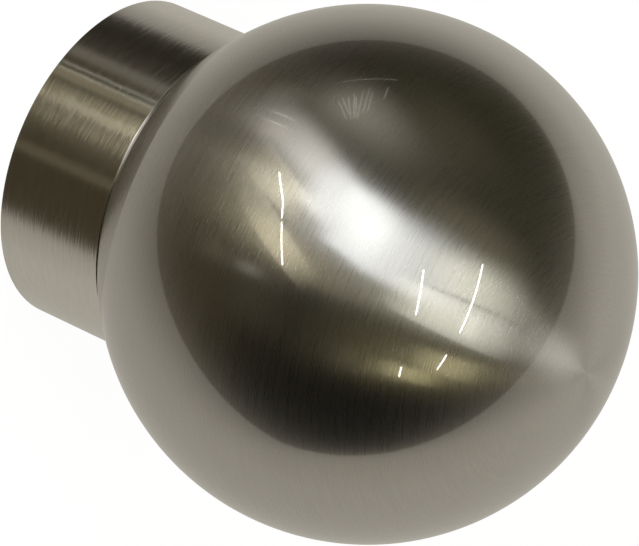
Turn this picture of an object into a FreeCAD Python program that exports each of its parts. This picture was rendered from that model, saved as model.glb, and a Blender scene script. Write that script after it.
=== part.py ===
import FreeCAD, Part
import math
import os

# Ball finial for a curtain pole: a hollow ball held on a turned socket by a screw inside it.
# The pole's axis is Z. The socket's open end is at z = 0 and the ball is at the top.

# Driving dimensions, in millimetres.
pole_diameter = 28.0          # the pole that the socket slips over
pole_clearance = 0.2          # gap all round the pole

collar_wall = 1.8             # wall of the socket
collar_length = 11.85         # from the open end to the face under the ball
collar_edge = 0.1             # radius on the collar's two outer edges
mouth_chamfer = 0.5           # lead-in for the pole

ball_diameter = 50.0
ball_wall = 1.2               # sheet that the ball is pressed from

screw_diameter = 5.0          # countersunk screw that holds the ball
screw_length = 12.0           # overall, head included
screw_head_diameter = 9.2
screw_head_rim = 0.3          # straight rim below the head's cone
screw_tip_chamfer = 0.6
screw_hole_clearance = 0.25   # all round the shank, in the socket's floor
screw_seat_clearance = 0.1    # all round the head, in its countersink
floor_land = 0.6              # floor left between the countersink and the ball

recess_span = 4.6             # cross recess, tip to tip at the head's face
recess_floor_span = 2.4       # the same at the recess's floor
recess_width = 1.3            # width of each slot
recess_depth = 2.4

bush_wall = 2.0               # metal round the bush's thread
bush_length = 9.0             # from the ball's flat to the bush's inner end
bush_flange_width = 2.5       # how far the flange stands out from the barrel
bush_flange_thickness = 1.5
bush_chamfer = 0.4            # on the barrel's inner end and at the thread's mouths
bush_fit_clearance = 0.05     # all round the bush, in the ball's flat
thread_clearance = 0.05       # between a plain thread cylinder and its hole

grub_diameter = 4.0           # set screw in the collar's wall
grub_length = 3.0
grub_chamfer = 0.4            # on both ends
grub_hexagon = 2.0            # key size, across flats
grub_hexagon_depth = 1.6
grub_cup_diameter = 2.0       # hollow point that bites into the pole
grub_cup_depth = 0.5

# Sizes that follow from those above.
bore_radius = pole_diameter / 2 + pole_clearance
collar_radius = bore_radius + collar_wall
ball_radius = ball_diameter / 2
seat_radius = collar_radius - collar_edge      # the ball sits on the whole of the collar's flat face
ball_centre = collar_length + math.sqrt(ball_radius**2 - seat_radius**2)

screw_radius = screw_diameter / 2
screw_head_radius = screw_head_diameter / 2
screw_hole_radius = screw_radius + screw_hole_clearance
countersink_radius = screw_head_radius + screw_seat_clearance
head_cone_height = screw_head_radius - screw_radius
countersink_depth = screw_head_rim + countersink_radius - screw_hole_radius
floor_thickness = countersink_depth + floor_land
socket_depth = collar_length - floor_thickness

bush_bore_radius = screw_radius + thread_clearance
bush_radius = screw_radius + bush_wall
grub_radius = grub_diameter / 2
grub_height = socket_depth / 2

axis_start = FreeCAD.Vector(0, 0, 0)
axis_up = FreeCAD.Vector(0, 0, 1)
axis_right = FreeCAD.Vector(1, 0, 0)
axis_back = FreeCAD.Vector(0, 1, 0)


def at(radius, height):
    return FreeCAD.Vector(radius, 0, height)


def path(*points):
    return [Part.LineSegment(start, end).toShape() for start, end in zip(points, points[1:])]


def arc(start, middle, end):
    return [Part.Arc(start, middle, end).toShape()]


def rounded_corner(start, end, centre):
    outward = start + end - centre * 2
    middle = centre + outward.normalize() * (start - centre).Length
    return arc(start, middle, end)


def turned(edges):
    profile = Part.Face(Part.Wire(edges))
    return profile.revolve(axis_start, axis_up, 360)


def make_ball():
    inner_radius = ball_radius - ball_wall
    inner_flat = collar_length + ball_wall
    inner_flat_radius = math.sqrt(inner_radius**2 - (ball_centre - inner_flat)**2)
    hole_radius = bush_radius + bush_fit_clearance
    hole_edge = at(hole_radius, collar_length)
    seat_edge = at(seat_radius, collar_length)
    outer_tip = at(0, ball_centre + ball_radius)
    inner_tip = at(0, ball_centre + inner_radius)
    inner_edge = at(inner_flat_radius, inner_flat)

    edges = path(hole_edge, seat_edge)
    edges += arc(seat_edge, at(ball_radius, ball_centre), outer_tip)
    edges += path(outer_tip, inner_tip)
    edges += arc(inner_tip, at(inner_radius, ball_centre), inner_edge)
    edges += path(inner_edge, at(hole_radius, inner_flat), hole_edge)
    return turned(edges)


def make_collar():
    mouth = at(bore_radius + mouth_chamfer, 0)
    rear_face = at(collar_radius - collar_edge, 0)
    rear_side = at(collar_radius, collar_edge)
    front_side = at(collar_radius, collar_length - collar_edge)
    front_face = at(collar_radius - collar_edge, collar_length)

    edges = path(mouth, rear_face)
    edges += rounded_corner(rear_face, rear_side, at(collar_radius - collar_edge, collar_edge))
    edges += path(rear_side, front_side)
    edges += rounded_corner(front_side, front_face, at(front_face.x, front_side.z))
    edges += path(
        front_face,
        at(screw_hole_radius, collar_length),
        at(screw_hole_radius, collar_length - floor_land),
        at(countersink_radius, socket_depth + screw_head_rim),
        at(countersink_radius, socket_depth),
        at(bore_radius, socket_depth),
        at(bore_radius, mouth_chamfer),
        mouth,
    )
    return turned(edges).cut(make_grub_hole())


def make_grub_hole():
    start = FreeCAD.Vector(0, bore_radius - collar_wall, grub_height)
    return Part.makeCylinder(grub_radius + thread_clearance, 3 * collar_wall, start, axis_back)


def make_threaded_bush():
    bottom = collar_length
    flange_bottom = bottom + ball_wall
    flange_top = flange_bottom + bush_flange_thickness
    top = bottom + bush_length
    flange_radius = bush_radius + bush_flange_width
    first = at(bush_bore_radius + bush_chamfer, bottom)
    return turned(path(
        first,
        at(bush_radius, bottom),
        at(bush_radius, flange_bottom),
        at(flange_radius, flange_bottom),
        at(flange_radius, flange_top),
        at(bush_radius, flange_top),
        at(bush_radius, top - bush_chamfer),
        at(bush_radius - bush_chamfer, top),
        at(bush_bore_radius + bush_chamfer, top),
        at(bush_bore_radius, top - bush_chamfer),
        at(bush_bore_radius, bottom + bush_chamfer),
        first,
    ))


def cross_outline(span, height):
    reach = span / 2
    half = recess_width / 2
    quarter = [(reach, -half), (reach, half), (half, half)]
    corners = []
    for turn in range(4):
        rotation = FreeCAD.Rotation(axis_up, 90 * turn)
        corners += [rotation.multVec(FreeCAD.Vector(x, y, height)) for x, y in quarter]
    return Part.makePolygon(corners + corners[:1])


def make_fixing_screw():
    face = socket_depth
    cone_start = face + screw_head_rim
    tip = face + screw_length
    body = turned(path(
        at(0, face),
        at(screw_head_radius, face),
        at(screw_head_radius, cone_start),
        at(screw_radius, cone_start + head_cone_height),
        at(screw_radius, tip - screw_tip_chamfer),
        at(screw_radius - screw_tip_chamfer, tip),
        at(0, tip),
        at(0, face),
    ))
    outlines = [cross_outline(recess_span, face), cross_outline(recess_floor_span, face + recess_depth)]
    return body.cut(Part.makeLoft(outlines, True, True))


def make_grub_screw():
    body = turned(path(
        at(0, grub_cup_depth),
        at(grub_cup_diameter / 2, 0),
        at(grub_radius - grub_chamfer, 0),
        at(grub_radius, grub_chamfer),
        at(grub_radius, grub_length - grub_chamfer),
        at(grub_radius - grub_chamfer, grub_length),
        at(0, grub_length),
        at(0, grub_cup_depth),
    ))
    corner_reach = grub_hexagon / math.sqrt(3)
    corners = []
    for turn in range(6):
        rotation = FreeCAD.Rotation(axis_up, 60 * turn)
        corners.append(rotation.multVec(at(corner_reach, grub_length)))
    hexagon = Part.Face(Part.makePolygon(corners + corners[:1]))
    screw = body.cut(hexagon.extrude(axis_up * -grub_hexagon_depth))
    screw.rotate(axis_start, axis_right, -90)
    screw.translate(FreeCAD.Vector(0, bore_radius, grub_height))
    return screw


pieces = {
    "ball": make_ball(),
    "collar": make_collar(),
    "threaded_bush": make_threaded_bush(),
    "fixing_screw": make_fixing_screw(),
    "grub_screw": make_grub_screw(),
}

os.makedirs("parts", exist_ok=True)
for name, shape in pieces.items():
    shape.exportStep("parts/" + name + ".step")
    box = shape.BoundBox
    print(name, shape.isValid(), len(shape.Solids), "volume", round(shape.Volume, 1),
          "z", round(box.ZMin, 3), round(box.ZMax, 3))
print("ball centre", round(ball_centre, 3), "bore radius", bore_radius, "socket depth", socket_depth)
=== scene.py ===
import math

import bmesh
import bpy
from mathutils import Matrix, Vector


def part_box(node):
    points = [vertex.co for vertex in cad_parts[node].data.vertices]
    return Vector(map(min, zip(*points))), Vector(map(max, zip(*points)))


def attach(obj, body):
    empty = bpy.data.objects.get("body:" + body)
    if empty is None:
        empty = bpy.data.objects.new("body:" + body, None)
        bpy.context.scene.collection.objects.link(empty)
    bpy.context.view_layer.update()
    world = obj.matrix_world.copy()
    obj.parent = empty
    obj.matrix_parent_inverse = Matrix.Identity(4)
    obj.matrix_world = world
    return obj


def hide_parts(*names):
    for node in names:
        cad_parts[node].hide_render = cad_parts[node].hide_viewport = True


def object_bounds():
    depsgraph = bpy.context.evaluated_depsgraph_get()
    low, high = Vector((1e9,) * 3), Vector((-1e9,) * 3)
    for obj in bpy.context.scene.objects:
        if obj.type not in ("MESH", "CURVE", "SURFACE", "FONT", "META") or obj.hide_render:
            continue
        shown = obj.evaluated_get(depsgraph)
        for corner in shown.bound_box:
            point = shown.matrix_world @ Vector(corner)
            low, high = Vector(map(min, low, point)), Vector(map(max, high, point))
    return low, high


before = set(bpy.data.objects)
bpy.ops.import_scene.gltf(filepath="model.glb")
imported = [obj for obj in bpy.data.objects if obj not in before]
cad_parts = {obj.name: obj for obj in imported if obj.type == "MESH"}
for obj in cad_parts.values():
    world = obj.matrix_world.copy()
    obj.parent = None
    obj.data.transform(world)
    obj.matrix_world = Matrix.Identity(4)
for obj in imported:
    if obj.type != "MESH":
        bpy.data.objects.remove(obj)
cadLow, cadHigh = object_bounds()
millimetre = 0.001
nearEnough = 0.02 * millimetre        # for telling rims and faces by their place
weldDistance = 0.001 * millimetre
facing = 0.9                          # cosine above which a face looks along the axis
sharpAngle = 30                       # degrees, edges above it stay sharp
ballLow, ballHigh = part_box("ball")
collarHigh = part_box("collar")[1]
ballRadius = (ballHigh.y - ballLow.y) / 2
ballCentre = Vector((0, 0, ballHigh.z - ballRadius))
print("frame loaded, ball", round(2 * ballRadius / millimetre, 2), "mm across")


# small modelling helpers

def clearSelection():
    if bpy.context.mode != "OBJECT":
        bpy.ops.object.mode_set(mode="OBJECT")
    bpy.ops.object.select_all(action="DESELECT")


def takeNew(name):        # names the new primitive and puts its place into its mesh
    piece = bpy.context.object
    piece.name = name
    piece.data.name = name
    bpy.ops.object.transform_apply(location=True, rotation=True, scale=True)
    bpy.ops.object.mode_set(mode="EDIT")
    return piece


def pickFaces(piece, test):
    bpy.ops.mesh.select_mode(type="FACE")
    bpy.ops.mesh.select_all(action="DESELECT")
    mesh = bmesh.from_edit_mesh(piece.data)
    for face in mesh.faces:
        face.select_set(test(face.calc_center_median(), face.normal))
    bmesh.update_edit_mesh(piece.data)


def pickEdges(piece, test):
    bpy.ops.mesh.select_mode(type="EDGE")
    bpy.ops.mesh.select_all(action="DESELECT")
    mesh = bmesh.from_edit_mesh(piece.data)
    for edge in mesh.edges:
        edge.select_set(all(test(corner.co) for corner in edge.verts))
    bmesh.update_edit_mesh(piece.data)


def pushIn(height):       # extrudes the picked face straight along the pole's axis
    bpy.ops.mesh.extrude_region_move(TRANSFORM_OT_translate={"value": (0, 0, height)})


def bevelRim(piece, radius, height, offset, steps):
    pickEdges(piece, lambda spot: isNear(spot.xy.length, radius) and isNear(spot.z, height))
    bpy.ops.mesh.bevel(offset=offset, segments=steps, affect="EDGES")


def closeSeams(piece):
    bpy.ops.mesh.select_all(action="SELECT")
    bpy.ops.mesh.remove_doubles(threshold=weldDistance)
    bpy.ops.mesh.normals_make_consistent(inside=False)
    bpy.ops.object.mode_set(mode="OBJECT")


def cutAway(piece, cutter):
    clearSelection()
    piece.select_set(True)
    bpy.context.view_layer.objects.active = piece
    bpy.ops.object.modifier_add(type="BOOLEAN")
    cut = piece.modifiers[-1]
    cut.operation = "DIFFERENCE"
    cut.object = cutter
    cut.solver = "EXACT"
    bpy.ops.object.modifier_apply(modifier=cut.name)
    bpy.data.objects.remove(cutter, do_unlink=True)


def smoothEdges(piece, degrees):
    clearSelection()
    piece.select_set(True)
    bpy.context.view_layer.objects.active = piece
    bpy.ops.object.shade_smooth_by_angle(angle=math.radians(degrees))


def install(piece, node, finish):
    piece.data.materials.clear()
    piece.data.materials.append(finish)
    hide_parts(node)
    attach(piece, "root")
    print("made", piece.name, "with", len(piece.data.polygons), "faces")


def isNear(value, target):
    return abs(value - target) < nearEnough


# shader maths: a wired socket that takes part in Python expressions

class Wire:
    def __init__(self, tree, socket=None):
        self.tree = tree
        self.socket = socket

    def node(self, kind, settings=None, sockets=None, out=0):
        made = self.tree.nodes.new(kind)
        for name, value in (settings or {}).items():
            setattr(made, name, value)
        for name, value in (sockets or {}).items():
            if isinstance(value, Wire):
                self.tree.links.new(value.socket, made.inputs[name])
            else:
                made.inputs[name].default_value = value
        return Wire(self.tree, made.outputs[out] if made.outputs else None)

    def maths(self, operation, first, second=0.0):
        return self.node("ShaderNodeMath", {"operation": operation}, {0: first, 1: second})

    def __add__(self, other):
        return self.maths("ADD", self, other)

    def __radd__(self, other):
        return self.maths("ADD", other, self)

    def __sub__(self, other):
        return self.maths("SUBTRACT", self, other)

    def __rsub__(self, other):
        return self.maths("SUBTRACT", other, self)

    def __mul__(self, other):
        return self.maths("MULTIPLY", self, other)

    def __rmul__(self, other):
        return self.maths("MULTIPLY", other, self)


def vectorMaths(start, operation, first, second):
    return start.node("ShaderNodeVectorMath", {"operation": operation}, {0: first, 1: second})


def dotWith(start, vector, direction):
    sockets = {0: vector, 1: direction}
    return start.node("ShaderNodeVectorMath", {"operation": "DOT_PRODUCT"}, sockets, "Value")


def softStep(start, value, low, high):
    sockets = {"Value": value, "From Min": low, "From Max": high}
    return start.node("ShaderNodeMapRange", {"interpolation_type": "SMOOTHSTEP"}, sockets)


def mixColours(start, factor, first, second):
    sockets = {0: factor, 6: first, 7: second}      # 6, 7 and output 2 are the node's colours
    return start.node("ShaderNodeMix", {"data_type": "RGBA"}, sockets, 2)


def newMaterial(name):
    material = bpy.data.materials.new(name)
    material.use_nodes = True
    material.node_tree.nodes.clear()
    return material, Wire(material.node_tree)


def finishMaterial(material, start, surface):
    start.node("ShaderNodeOutputMaterial", None, {"Surface": surface})
    return material


# camera, standing where the picture was taken from

cameraView = {
    "elevation": math.radians(30.79),   # above the plane of the collar's mouth
    "axisFall": math.radians(24.45),    # how far the pole's axis falls to the right
    "distance": 0.4625,                 # from the lens to the ball's centre
    "ballPixel": (367.05, 273.8),       # the ball's centre in the picture
    "picture": (639, 546),
    "focalPixels": 5000,
    "sensor": 36.0,                     # millimetres
    "nearClip": 0.01,
}


def makeCamera(view):
    rise = view["elevation"]
    back = Vector((0, -math.cos(rise), math.sin(rise)))
    axisShown = Vector((0, math.sin(rise), math.cos(rise)))
    sideShown = Vector((1, 0, 0))
    right = axisShown * math.cos(view["axisFall"]) - sideShown * math.sin(view["axisFall"])
    up = back.cross(right)
    middle = [(size - 1) / 2 for size in view["picture"]]
    offset = [(spot - half) / view["focalPixels"] for spot, half in zip(view["ballPixel"], middle)]
    toBall = (right * offset[0] - up * offset[1] - back).normalized()
    place = ballCentre - toBall * view["distance"]
    bpy.ops.object.camera_add(location=place)
    camera = bpy.context.object
    camera.name = "viewCamera"
    axes = Matrix((right, up, back)).transposed().to_4x4()
    camera.matrix_world = Matrix.Translation(place) @ axes
    camera.data.sensor_width = view["sensor"]
    camera.data.lens = view["focalPixels"] / view["picture"][0] * view["sensor"]
    camera.data.clip_start = view["nearClip"]
    camera.data.dof.use_dof = False
    bpy.context.scene.camera = camera
    bpy.context.view_layer.update()
    return place


clearSelection()
cameraPlace = makeCamera(cameraView)
print("camera placed")


# studio: white floor, a pale sheet round the back, a dark room in front

room = {
    "azimuth": math.radians(-16.2),     # middle of the dark side, from the camera towards -X
    "elevation": math.radians(18.6),
    "edge": -0.122,                     # cosine at which the sheet starts
    "softness": 0.012,
    "wideness": 0.085,                  # the dark side is wider than it is high
    "lean": 0.08,                       # below, the dark side leans to the left and narrows
    "narrow": 0.18,
    "rightwards": (-0.6, 0.6),          # sideways span from the left colours to the right ones
    "leftSide": (-0.25, -0.6),          # sideways span of the sheet's dimmer left
    "leftHeight": (0.5, 0.1),           # and how high that part goes
    "underSheet": (-0.6, -0.97),        # height span of the sheet below
    "underDark": (-0.1, -0.6),          # height span of the dark side below
    "underLeft": (-0.45, -0.75),        # sideways span of its dimmer left
    "darkLeft": (0.043, 0.040, 0.025, 1),
    "darkRight": (0.010, 0.009, 0.008, 1),
    "darkBelow": (0.056, 0.045, 0.025, 1),
    "darkBelowLeft": (0.022, 0.019, 0.014, 1),
    "sheetNear": (0.37, 0.349, 0.30, 1),
    "sheetNearLeft": (0.27, 0.254, 0.218, 1),
    "sheetBelow": (0.30, 0.281, 0.238, 1),
    "sheetLeft": (0.50, 0.477, 0.42, 1),
    "sheetRight": (0.47, 0.447, 0.394, 1),
    "sheetFade": 0.4,
    "floorSize": 6.0,
    "floorGlow": 0.85,
    "floorStrength": 1.12,
    "floorColour": (0.95, 0.95, 0.95, 1),
    "floorRoughness": 0.9,
}


def makeRoom(values):
    across, rise = values["azimuth"], values["elevation"]
    axis = (math.cos(rise) * math.sin(across), -math.cos(rise) * math.cos(across), math.sin(rise))
    side = (math.cos(across), math.sin(across), 0)
    world = bpy.data.worlds.new("studioRoom")
    bpy.context.scene.world = world
    world.use_nodes = True
    world.node_tree.nodes.clear()
    start = Wire(world.node_tree)
    direction = start.node("ShaderNodeTexCoord", out="Generated")
    height = start.node("ShaderNodeSeparateXYZ", None, {0: direction}, "Z")
    sideways = dotWith(start, direction, side)
    toRight = softStep(start, sideways, *values["rightwards"])
    reach = dotWith(start, direction, axis) + values["wideness"] * sideways * sideways
    below = start.maths("MINIMUM", height, 0)
    reach = reach + below * sideways * (values["lean"] + values["narrow"] * sideways)
    edge, soft = values["edge"], values["softness"]
    fade = start.node("ShaderNodeMapRange", None, {
        "Value": reach, "From Min": edge, "From Max": edge - values["sheetFade"]})
    farSheet = mixColours(start, toRight, values["sheetLeft"], values["sheetRight"])
    leftSide = softStep(start, sideways, *values["leftSide"])
    leftSide = leftSide * softStep(start, height, *values["leftHeight"])
    nearSheet = mixColours(start, leftSide, values["sheetNear"], values["sheetNearLeft"])
    underSheet = softStep(start, height, *values["underSheet"])
    nearSheet = mixColours(start, underSheet, nearSheet, values["sheetBelow"])
    sheet = mixColours(start, fade, nearSheet, farSheet)
    gloom = mixColours(start, toRight, values["darkLeft"], values["darkRight"])
    underLeft = softStep(start, sideways, *values["underLeft"])
    gloomBelow = mixColours(start, underLeft, values["darkBelow"], values["darkBelowLeft"])
    underDark = softStep(start, height, *values["underDark"])
    gloom = mixColours(start, underDark, gloom, gloomBelow)
    inDark = softStep(start, reach, edge - soft, edge + soft)
    colour = mixColours(start, inDark, sheet, gloom)
    seenDirectly = start.node("ShaderNodeLightPath", out="Is Camera Ray")
    shown = mixColours(start, seenDirectly, colour, (1, 1, 1, 1))
    background = start.node("ShaderNodeBackground", None, {"Color": shown})
    start.node("ShaderNodeOutputWorld", None, {"Surface": background})


def makeFloor(values):
    clearSelection()
    bpy.ops.mesh.primitive_plane_add(size=values["floorSize"], location=(0, 0, cadLow.z))
    floor = bpy.context.object
    floor.name = "studioFloor"
    material, start = newMaterial("whiteFloor")
    paths = [start.node("ShaderNodeLightPath", out="Is " + ray + " Ray")
             for ray in ("Camera", "Glossy", "Transmission")]
    seen = paths[0] + paths[1] + paths[2]
    matt = start.node("ShaderNodeBsdfPrincipled", None, {
        "Base Color": values["floorColour"], "Roughness": values["floorRoughness"]})
    glow = start.node("ShaderNodeEmission", None, {
        "Color": (1, 1, 1, 1), "Strength": values["floorStrength"]})
    glowing = seen * values["floorGlow"]
    surface = start.node("ShaderNodeMixShader", None, {0: glowing, 1: matt, 2: glow})
    floor.data.materials.append(finishMaterial(material, start, surface))
    floor.visible_glossy = False        # the metal sees the room, not the floor
    floor.visible_shadow = False


# lamps, each set so that its reflection lies between two spots of the ball (longitude, latitude)
# width is in degrees of the ball, level is brightness
# fade is the softened share at the low end, the high end, the left and the right

daylight, white, grey = (0.93, 0.965, 1), (1, 0.985, 0.95), (1, 0.96, 0.84)
cream, ivory = (0.985, 1, 0.89), (0.99, 0.992, 0.835)
beige, olive = (1, 0.9, 0.62), (1, 0.89, 0.45)
farDistance, lowDistance, footDistance = 1.0, 0.3, 0.045      # metres from the ball
powerPerLevel = 4.0                   # watts per square metre for one unit of brightness
lamps = {
    "window": {
        "ends": ((-10.6, 16.5), (-7.6, 33.5)), "width": 16.6,
        "level": 1.76, "colour": daylight, "fade": (0.4, 0.6, 0.24, 0.12)},
    "windowLow": {
        "ends": ((-15.5, 9.6), (-9, 23)), "width": 13.8,
        "level": 1.45, "colour": daylight, "fade": (0.5, 0.45, 0.25, 0.19)},
    "windowHead": {
        "ends": ((-7.2, 22), (-10.2, 53)), "width": 16.5,
        "level": 1.38, "colour": daylight, "fade": (0.3, 0.9, 0.46, 0.15)},
    "windowFoot": {
        "ends": ((-24.5, -14), (-13.5, 18)), "width": 10.5, "distance": footDistance,
        "level": 0.98, "colour": white, "fade": (0.9, 0.3, 0.4, 0.4)},
    "ceilingLeft": {
        "ends": ((-9.4, 38), (-22, 66)), "width": 9.6,
        "level": 0.95, "colour": ivory, "fade": (0.36, 0.6, 0.6, 0.06)},
    "ceilingHalo": {
        "ends": ((-18.5, 26), (-27, 63)), "width": 10.5,
        "level": 0.085, "colour": beige, "fade": (0.4, 0.4, 0.5, 0.3)},
    "ceilingRight": {
        "ends": ((1.5, 33), (2.3, 67.5)), "width": 6.9,
        "level": 0.94, "colour": cream, "fade": (0.35, 0.45, 0.1, 0.1)},
    "ceilingEdge": {
        "ends": ((3.5, 10), (3.5, 40)), "width": 8,
        "level": 0.07, "colour": beige, "fade": (0.3, 0.5, 0.3, 0.2)},
    "tipStreak": {
        "ends": ((-3, 64), (12, 89)), "width": 9,
        "level": 0.36, "colour": white, "fade": (0.5, 0.45, 0.5, 0.5)},
    "lowLeft": {
        "ends": ((-15, -7), (-4.9, 14.7)), "width": 6.2, "distance": lowDistance,
        "level": 0.92, "colour": beige, "fade": (0.75, 0.37, 0.12, 0.08)},
    "lowRight": {
        "ends": ((-9, -4.9), (8, 21.7)), "width": 4.9, "distance": lowDistance,
        "level": 1.72, "colour": beige, "fade": (0.9, 0.55, 0.08, 0.1)},
    "sideWall": {
        "ends": ((14.8, 43), (19, 62)), "width": 5,
        "level": 0.55, "colour": olive, "fade": (0.4, 0.5, 0.3, 0.2)},
    "sideCorner": {
        "ends": ((20, 36), (23, 53)), "width": 4,
        "level": 0.62, "colour": olive, "fade": (0.5, 0.4, 0.3, 0.3)},
    "sideHaze": {
        "ends": ((11, 18), (14, 68)), "width": 16,
        "level": 0.052, "colour": olive, "fade": (0.5, 0.3, 0.15, 0.4)},
    "floorHaze": {
        "ends": ((14, 1), (13, 19)), "width": 20,
        "level": 0.05, "colour": beige, "fade": (0.5, 0.5, 0.4, 0.5)},
    "wallHaze": {
        "ends": ((-38, 9), (-35, 44)), "width": 20,
        "level": 0.04, "colour": beige, "fade": (0.5, 0.5, 0.5, 0.5)},
    "greyDoor": {
        "ends": ((-33, 0), (-22.5, 29)), "width": 17,
        "level": 0.34, "colour": grey, "fade": (0.35, 0.8, 0.5, 0.5)},
    "paneLeft": {
        "ends": ((-27.5, -13), (-27.5, 3)), "width": 5.5,
        "level": 0.1, "colour": grey, "fade": (0.5, 0.5, 0.4, 0.4)},
    "paneMiddle": {
        "ends": ((-19, -8), (-18.5, 3)), "width": 4.5,
        "level": 0.2, "colour": beige, "fade": (0.5, 0.5, 0.4, 0.4)},
    "paneRight": {
        "ends": ((8, -8), (8, 3)), "width": 5,
        "level": 0.06, "colour": beige, "fade": (0.5, 0.5, 0.4, 0.4)},
    "farDoor": {
        "ends": ((9, 2), (9, 12)), "width": 4,
        "level": 0.33, "colour": grey, "fade": (0.5, 0.5, 0.5, 0.5)},
    "ceilingTile": {
        "ends": ((-2.2, 54.9), (6.6, 55.1)), "width": 4,
        "level": 0.48, "colour": white, "fade": (0.06, 0.06, 0.65, 0.08)},
}
tubes = {
    "tubeLow": ((-11.4, 4), (-6.2, 8)),
    "tubeJoint": ((-6.2, 8), (-3, 9.4)),
    "tubeLong": ((-2.4, 9.7), (5.8, 13.6)),
    "tubeMiddle": ((-7, 40), (5, 42.5)),
    "tubeHigh": ((-18, 50), (5.5, 52.5)),
    "tubeSide": ((13.5, 51.5), (19.2, 50.3)),
    "tubeFar": ((20, 43), (23, 43)),
}
strands = {
    "strandTop": ((-34.3, 1.6), (-43.8, 12.4)),
    "strandA": ((-31.4, 4.9), (-27.8, 10)),
    "strandB": ((-32.6, 5), (-29.2, 9.6)),
    "strandC": ((-33.6, 6), (-28.2, 10.7)),
    "strandD": ((-35.2, 6.5), (-28.7, 11)),
    "strandE": ((-34.6, 7.4), (-29.5, 11)),
    "strandF": ((-37, 7.6), (-29, 11.6)),
    "strandG": ((-38.3, 8.3), (-30.8, 11.7)),
    "strandH": ((-37.7, 9.4), (-31.9, 12.1)),
    "strandI": ((-40.6, 11.2), (-36.8, 12.7)),
}
slats = {
    "slatLeft": ((-22.6, -8), (-22.6, 2)),
    "slatRight": ((-20.4, -8), (-20.4, 2)),
}
strandLamp = {"width": 0.28, "level": 0.62, "colour": grey, "fade": (0.25, 0.15, 0.4, 0.4)}
slatLamp = {"width": 0.4, "level": 0.9, "colour": cream, "fade": (0.5, 0.5, 0.4, 0.4)}
tubeLamp = {"width": 0.35, "level": 11, "colour": (1, 1, 0.95), "fade": (0.02, 0.02, 0.3, 0.3)}


def mirrored(longitude, latitude, distance):      # where the camera's ray goes from that spot
    east, north = math.radians(longitude), math.radians(latitude)
    level = math.cos(north)
    normal = Vector((level * math.sin(east), -level * math.cos(east), math.sin(north)))
    spot = ballCentre + normal * ballRadius
    toCamera = (cameraPlace - spot).normalized()
    return spot + (2 * toCamera.dot(normal) * normal - toCamera) * distance


def softenLamp(light, lowFade, highFade, leftFade, rightFade):
    light.use_nodes = True
    light.node_tree.nodes.clear()
    start = Wire(light.node_tree)
    place = start.node("ShaderNodeNewGeometry", out="Parametric")
    across = start.node("ShaderNodeSeparateXYZ", None, {0: place}, "X")
    along = start.node("ShaderNodeSeparateXYZ", None, {0: place}, "Y")
    sides = softStep(start, across, 0, leftFade) * softStep(start, 1 - across, 0, rightFade)
    ends = softStep(start, along, 0, lowFade) * softStep(start, 1 - along, 0, highFade)
    glow = start.node("ShaderNodeEmission", None, {"Strength": sides * ends})
    start.node("ShaderNodeOutputLight", None, {"Surface": glow})


def makeLamp(name, values):
    distance = values.get("distance", farDistance)
    low, high = (mirrored(*end, distance) for end in values["ends"])
    middle = (low + high) / 2
    along = (high - low).normalized()
    across = along.cross(middle - ballCentre).normalized()
    axes = Matrix((across, along, across.cross(along))).transposed().to_4x4()
    reach = 2 * distance + ballRadius     # a mirror doubles the angle
    bpy.ops.object.light_add(type="AREA")
    lamp = bpy.context.object
    lamp.name = name
    lamp.matrix_world = Matrix.Translation(middle) @ axes
    lamp.data.shape = "RECTANGLE"
    lamp.data.size = reach * math.radians(values["width"])
    lamp.data.size_y = (high - low).length
    lamp.data.energy = values["level"] * powerPerLevel * lamp.data.size * lamp.data.size_y
    lamp.data.color = values["colour"]
    lamp.visible_camera = False
    softenLamp(lamp.data, *values["fade"])


makeRoom(room)
makeFloor(room)
for lampName, lampValues in lamps.items():
    makeLamp(lampName, lampValues)
for group, shared in ((tubes, tubeLamp), (strands, strandLamp), (slats, slatLamp)):
    for lampName, lampEnds in group.items():
        makeLamp(lampName, dict(shared, ends=lampEnds))
bpy.context.scene.view_settings.view_transform = "Standard"
print("studio lit by", len(bpy.data.lights), "lamps")


# finishes

def turnedPattern(start, centre, around, along, isBall):      # stretches noise round the axis
    point = start.node("ShaderNodeTexCoord", out="Object")
    centred = start.node("ShaderNodeMapping", None, {"Vector": point, "Location": (0, 0, -centre)})
    ring = start.node("ShaderNodeVectorMath", {"operation": "NORMALIZE"},
                      {0: vectorMaths(start, "MULTIPLY", centred, (1, 1, 0))})
    circling = vectorMaths(start, "MULTIPLY", ring, (around, around, 0))
    height = start.node("ShaderNodeSeparateXYZ", None, {0: centred}, "Z")
    if isBall:
        height = ballRadius * start.maths("ARCSINE", height * (1 / ballRadius))
    lines = start.node("ShaderNodeCombineXYZ", None, {"Z": height * along})
    return vectorMaths(start, "ADD", circling, lines)


noiseMiddle = 0.5


def noiseAt(start, place, detail, roughness):
    sockets = {"Vector": place, "Scale": 1.0, "Detail": detail, "Roughness": roughness}
    return start.node("ShaderNodeTexNoise", None, sockets)


ballFinish = {
    "tint": (0.44, 0.419, 0.382, 1),
    "paleTint": (0.50, 0.477, 0.435, 1),
    "roughness": 0.279,
    "roughnessSwing": 0.1,
    "anisotropy": 0.924,
    "turn": 0.25,                       # the highlight runs across the brush lines
    "lacquer": 1.0,
    "lacquerRoughness": 0.03,
    "lacquerIor": 2.25,
    "lineLength": 4.0,                  # pattern units round the axis
    "linesPerMetre": 7000,
    "lineDetail": 3,
    "lineContrast": (0.25, 0.75),       # span of the noise that goes from tint to pale tint
    "lineDepth": 0.005,                 # millimetres
    "waveSize": 130,                    # slow unevenness of the turned surface
    "waveDepth": 0.012,
}


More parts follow.
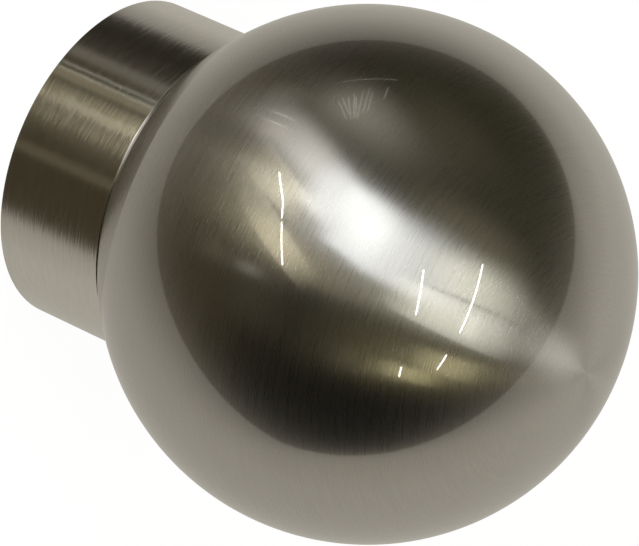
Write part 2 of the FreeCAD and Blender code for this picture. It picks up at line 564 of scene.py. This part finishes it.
def makeNickel(name, finish, centre, isBall):
    material, start = newMaterial(name)
    place = turnedPattern(start, centre, finish["lineLength"], finish["linesPerMetre"], isBall)
    lines = noiseAt(start, place, finish["lineDetail"], 0.6)
    point = start.node("ShaderNodeTexCoord", out="Object")
    wavePlace = vectorMaths(start, "MULTIPLY", point, [finish["waveSize"]] * 3)
    waves = noiseAt(start, wavePlace, 1, 0.5)
    paleness = softStep(start, lines, *finish["lineContrast"])
    colour = mixColours(start, paleness, finish["tint"], finish["paleTint"])
    roughness = finish["roughness"] + finish["roughnessSwing"] * (lines - noiseMiddle)
    height = lines * finish["lineDepth"] + waves * finish["waveDepth"]
    bump = start.node("ShaderNodeBump", None, {"Distance": millimetre, "Height": height}, "Normal")
    surface = start.node("ShaderNodeBsdfPrincipled", None, {
        "Base Color": colour,
        "Metallic": 1.0,
        "Roughness": roughness,
        "Anisotropic": finish["anisotropy"],
        "Anisotropic Rotation": finish["turn"],
        "Coat Weight": finish["lacquer"],
        "Coat Roughness": finish["lacquerRoughness"],
        "Coat IOR": finish["lacquerIor"],
        "Normal": bump,
    })
    return finishMaterial(material, start, surface)


collarFinish = dict(
    ballFinish,
    tint=(0.72, 0.70, 0.66, 1),
    paleTint=(0.775, 0.755, 0.72, 1),
    roughness=0.155,
    anisotropy=0.88,
    lacquer=0.0,
    lineLength=6.0,
    linesPerMetre=4200,
    lineDepth=0.012,
    waveDepth=0.0,
)
zincFinish = {
    "tint": (0.62, 0.62, 0.6, 1),
    "darkTint": (0.527, 0.527, 0.51, 1),
    "roughness": 0.3,
    "roughnessSwing": 0.1,
    "grainSize": 2500,
}
setScrewFinish = dict(
    zincFinish,
    tint=(0.35, 0.35, 0.34, 1),
    darkTint=(0.2975, 0.2975, 0.289, 1),
    roughness=0.35,
)


def makeSteel(name, finish):
    material, start = newMaterial(name)
    point = start.node("ShaderNodeTexCoord", out="Object")
    place = vectorMaths(start, "MULTIPLY", point, [finish["grainSize"]] * 3)
    grain = noiseAt(start, place, 3, 0.6)
    surface = start.node("ShaderNodeBsdfPrincipled", None, {
        "Base Color": mixColours(start, grain, finish["tint"], finish["darkTint"]),
        "Metallic": 1.0,
        "Roughness": finish["roughness"] + finish["roughnessSwing"] * (grain - noiseMiddle),
    })
    return finishMaterial(material, start, surface)


ballNickel = makeNickel("ballNickel", ballFinish, ballCentre.z, True)
collarNickel = makeNickel("collarNickel", collarFinish, 0.0, False)
zincSteel = makeSteel("zincSteel", zincFinish)
setScrewSteel = makeSteel("setScrewSteel", setScrewFinish)
print("finishes mixed")


# ball: a hollow shell with a flat where it seats on the collar

ball = {
    "segments": 192,
    "rings": 96,
    "wall": 1.2 * millimetre,
    "holeRadius": 4.55 * millimetre,    # for the bush
}


def makeBall(values):
    clearSelection()
    bpy.ops.mesh.primitive_uv_sphere_add(
        segments=values["segments"], ring_count=values["rings"],
        radius=ballRadius, location=ballCentre)
    piece = takeNew("ball_shell")
    bpy.ops.mesh.select_all(action="SELECT")
    bpy.ops.mesh.bisect(
        plane_co=(0, 0, ballLow.z), plane_no=(0, 0, 1), threshold=weldDistance,
        use_fill=True, clear_inner=True)
    pickFaces(piece, lambda middle, normal: isNear(middle.z, ballLow.z) and normal.z < -facing)
    seatRadius = math.sqrt(ballRadius ** 2 - (ballCentre.z - ballLow.z) ** 2)
    bpy.ops.mesh.inset(thickness=seatRadius - values["holeRadius"])
    bpy.ops.mesh.delete(type="FACE")
    closeSeams(piece)
    bpy.ops.object.modifier_add(type="SOLIDIFY")
    wall = piece.modifiers[-1]
    wall.thickness = values["wall"]
    wall.offset = -1
    wall.use_even_offset = True
    bpy.ops.object.modifier_apply(modifier=wall.name)
    smoothEdges(piece, sharpAngle)
    install(piece, "ball", ballNickel)


makeBall(ball)


# collar: turned socket with a countersunk floor and a hole for the set screw

collar = {
    "segments": 192,
    "edge": 0.1 * millimetre,           # radius on the rim
    "seamEdge": 0.07 * millimetre,      # radius under the ball
    "edgeSteps": 4,
    "wall": 1.8 * millimetre,
    "mouthChamfer": 0.5 * millimetre,
    "socketDepth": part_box("fixing_screw")[0].z,      # the screw's head is flush with the floor
    "headRadius": 4.7 * millimetre,     # countersink
    "headRim": 0.3 * millimetre,
    "screwHole": 2.75 * millimetre,
    "setScrewHole": 2.05 * millimetre,
    "holeSegments": 64,
    "setScrewHeight": sum(corner.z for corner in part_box("grub_screw")) / 2,
}


def makeCollar(values):
    radius, length = collarHigh.x, collarHigh.z
    bore = radius - values["wall"]
    chamfer, cone = values["mouthChamfer"], values["headRadius"] - values["screwHole"]
    clearSelection()
    bpy.ops.mesh.primitive_cylinder_add(
        vertices=values["segments"], radius=radius, depth=length, location=(0, 0, length / 2))
    piece = takeNew("socket_collar")
    pickFaces(piece, lambda middle, normal: normal.z < -facing)
    bpy.ops.mesh.inset(thickness=values["wall"] - chamfer)
    bpy.ops.mesh.inset(thickness=chamfer, depth=-chamfer)
    pushIn(values["socketDepth"] - chamfer)
    bpy.ops.mesh.inset(thickness=bore - values["headRadius"])
    pushIn(values["headRim"])
    bpy.ops.mesh.inset(thickness=cone, depth=-cone)
    pushIn(length - values["socketDepth"] - values["headRim"] - cone)
    bpy.ops.mesh.delete(type="FACE")
    pickFaces(piece, lambda middle, normal: normal.z > facing and isNear(middle.z, length))
    bpy.ops.mesh.inset(thickness=radius - values["screwHole"])
    bpy.ops.mesh.delete(type="FACE")
    closeSeams(piece)
    bpy.ops.object.mode_set(mode="EDIT")
    bevelRim(piece, radius, 0, values["edge"], values["edgeSteps"])
    bevelRim(piece, radius, length, values["seamEdge"], values["edgeSteps"])
    closeSeams(piece)
    bpy.ops.mesh.primitive_cylinder_add(
        vertices=values["holeSegments"], radius=values["setScrewHole"], depth=4 * values["wall"],
        location=(0, bore, values["setScrewHeight"]), rotation=(math.pi / 2, 0, 0))
    cutAway(piece, bpy.context.object)
    smoothEdges(piece, sharpAngle)
    bpy.ops.object.modifier_add(type="WEIGHTED_NORMAL")      # straight shading up to the bevels
    shading = piece.modifiers[-1]
    shading.keep_sharp = True
    bpy.ops.object.modifier_apply(modifier=shading.name)
    install(piece, "collar", collarNickel)


makeCollar(collar)


# fixing screw: countersunk, with a cross recess seen in the socket's floor

fixingLow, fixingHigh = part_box("fixing_screw")
fixingScrew = {
    "segments": 96,
    "radius": 2.5 * millimetre,
    "headRim": 0.3 * millimetre,
    "edge": 0.08 * millimetre,          # radius on the head's rim and round the recess
    "rimSteps": 3,
    "recessSteps": 2,
    "tipChamfer": 0.6 * millimetre,
    "recessSpan": 4.6 * millimetre,     # tip to tip at the head's face
    "recessFloorSpan": 2.4 * millimetre,
    "recessWidth": 1.3 * millimetre,
    "recessDepth": 2.4 * millimetre,
}


def makeRecessSlot(values, turn):
    depth = values["recessDepth"]
    mouth = 2 * values["recessSpan"] - values["recessFloorSpan"]
    bpy.ops.mesh.primitive_cube_add(
        size=1, location=(0, 0, fixingLow.z), scale=(mouth, values["recessWidth"], 2 * depth))
    slot = takeNew("recess_slot")
    pickFaces(slot, lambda middle, normal: normal.z > facing)
    bpy.ops.transform.resize(value=(values["recessFloorSpan"] / mouth, 1, 1))
    bpy.ops.object.mode_set(mode="OBJECT")
    slot.rotation_euler.z = turn
    return slot


def makeFixingScrew(values):
    face, headRadius = fixingLow.z, fixingHigh.x
    cone, chamfer = headRadius - values["radius"], values["tipChamfer"]
    clearSelection()
    bpy.ops.mesh.primitive_cylinder_add(
        vertices=values["segments"], radius=headRadius, depth=values["headRim"],
        location=(0, 0, face + values["headRim"] / 2))
    piece = takeNew("countersunk_screw")
    pickFaces(piece, lambda middle, normal: normal.z > facing)
    bpy.ops.mesh.inset(thickness=cone, depth=cone)
    pushIn(fixingHigh.z - face - values["headRim"] - cone - chamfer)
    bpy.ops.mesh.inset(thickness=chamfer, depth=chamfer)
    closeSeams(piece)
    for turn in (0, math.pi / 2):
        clearSelection()
        cutAway(piece, makeRecessSlot(values, turn))
    bpy.ops.object.mode_set(mode="EDIT")
    pickEdges(piece, lambda spot: isNear(spot.z, face) and spot.xy.length < values["radius"])
    bpy.ops.mesh.bevel(offset=values["edge"], segments=values["recessSteps"], affect="EDGES")
    bevelRim(piece, headRadius, face, values["edge"], values["rimSteps"])
    closeSeams(piece)
    smoothEdges(piece, sharpAngle)
    install(piece, "fixing_screw", zincSteel)


makeFixingScrew(fixingScrew)


# set screw: a threaded stud with a cup point and a hexagon socket
# it is built upright and then laid along +Y

grubLow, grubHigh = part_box("grub_screw")
setScrew = {
    "segments": 64,
    "chamfer": 0.4 * millimetre,
    "pitch": 0.7 * millimetre,
    "threadDepth": 0.36 * millimetre,
    "threadSteps": 48,
    "grooveReach": 0.55,                # of the pitch, from the V's middle to its root
    "sharpAngle": 35,
    "cupRadius": 1.0 * millimetre,
    "cupDepth": 0.5 * millimetre,
    "cupTaper": 0.96,                   # of the cup's radius, leaves a small flat in its middle
    "hexagon": 2.0 * millimetre,        # across flats
    "hexagonDepth": 1.6 * millimetre,
}


def makeThreadGroove(values, radius, length):     # a helical V, closed at both ends
    pitch = values["pitch"]
    reach = values["grooveReach"] * pitch
    bpy.ops.mesh.primitive_circle_add(
        vertices=3, radius=reach, location=(radius - values["threadDepth"] + reach, 0, -pitch),
        rotation=(math.pi / 2, -math.pi / 2, 0))
    groove = takeNew("thread_groove")
    bpy.ops.object.mode_set(mode="OBJECT")
    bpy.ops.object.modifier_add(type="SCREW")
    turns = groove.modifiers[-1]
    turns.screw_offset = pitch
    turns.iterations = math.ceil(length / pitch) + 2
    turns.steps = turns.render_steps = values["threadSteps"]
    bpy.ops.object.modifier_apply(modifier=turns.name)
    bpy.ops.object.mode_set(mode="EDIT")
    bpy.ops.mesh.select_all(action="SELECT")
    bpy.ops.mesh.fill_holes(sides=3)
    closeSeams(groove)
    return groove


def makeSetScrew(values):
    radius, length = grubHigh.x, grubHigh.y - grubLow.y
    clearSelection()
    bpy.ops.mesh.primitive_cylinder_add(
        vertices=values["segments"], radius=radius, depth=length, location=(0, 0, length / 2))
    piece = takeNew("set_screw")
    pickFaces(piece, lambda middle, normal: normal.z < -facing)
    bpy.ops.mesh.inset(thickness=radius - values["cupRadius"])
    bpy.ops.mesh.inset(thickness=values["cupTaper"] * values["cupRadius"], depth=-values["cupDepth"])
    bevelRim(piece, radius, 0, values["chamfer"], 1)
    bevelRim(piece, radius, length, values["chamfer"], 1)
    closeSeams(piece)
    clearSelection()
    cutAway(piece, makeThreadGroove(values, radius, length))
    clearSelection()
    bpy.ops.mesh.primitive_cylinder_add(
        vertices=6, radius=values["hexagon"] / math.sqrt(3), depth=2 * values["hexagonDepth"],
        location=(0, 0, length))
    cutAway(piece, bpy.context.object)
    smoothEdges(piece, values["sharpAngle"])
    piece.rotation_euler.x = -math.pi / 2
    piece.location = (0, grubLow.y, (grubLow.z + grubHigh.z) / 2)
    bpy.ops.object.transform_apply(location=True, rotation=True, scale=True)
    install(piece, "grub_screw", setScrewSteel)


makeSetScrew(setScrew)

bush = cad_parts["threaded_bush"]      # shut inside the ball, so the solid stays as it is
bush.data.materials.clear()
bush.data.materials.append(zincSteel)
